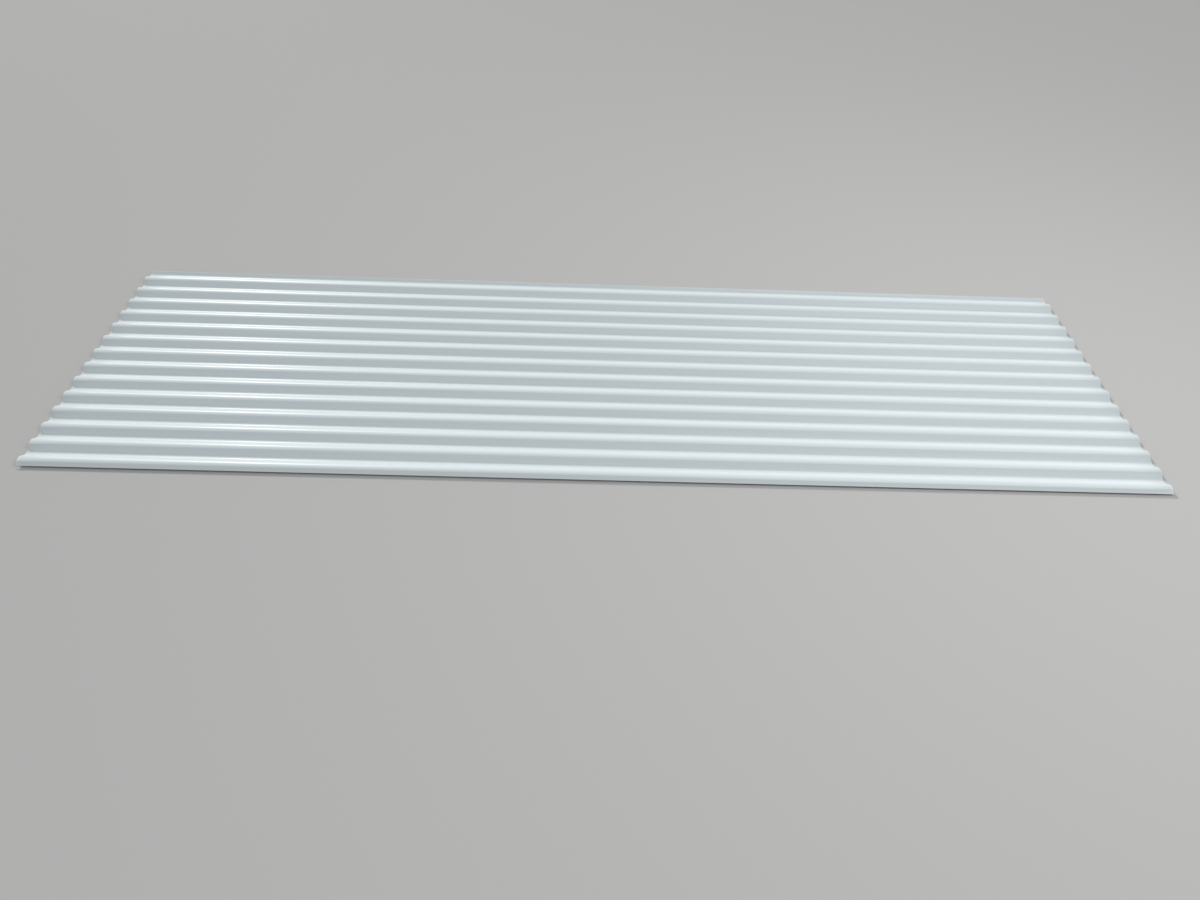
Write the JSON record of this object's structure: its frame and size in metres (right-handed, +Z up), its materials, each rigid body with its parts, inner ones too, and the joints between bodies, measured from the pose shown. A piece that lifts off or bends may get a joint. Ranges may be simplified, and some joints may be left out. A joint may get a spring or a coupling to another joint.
{
  "type": "corrugated roofing sheet",
  "caption": "Long corrugated metal sheet with rounded waves along its length, one side edge turned down and the other turned up for side laps.",
  "frame": {"origin": "under the middle of the sheet, on the level that the undersides of its valleys rest on", "axes": "+X along the waves, +Y across the waves towards the turned-up side edge, +Z up from the floor to the weather face"},
  "size_m": [3.6, 1.0688, 0.0164],
  "materials": {
    "painted_steel": "satin, pale cool grey"
  },
  "bodies": {
    "root": {"corrugated_sheet": "painted_steel"}
  },
  "joints": []
}
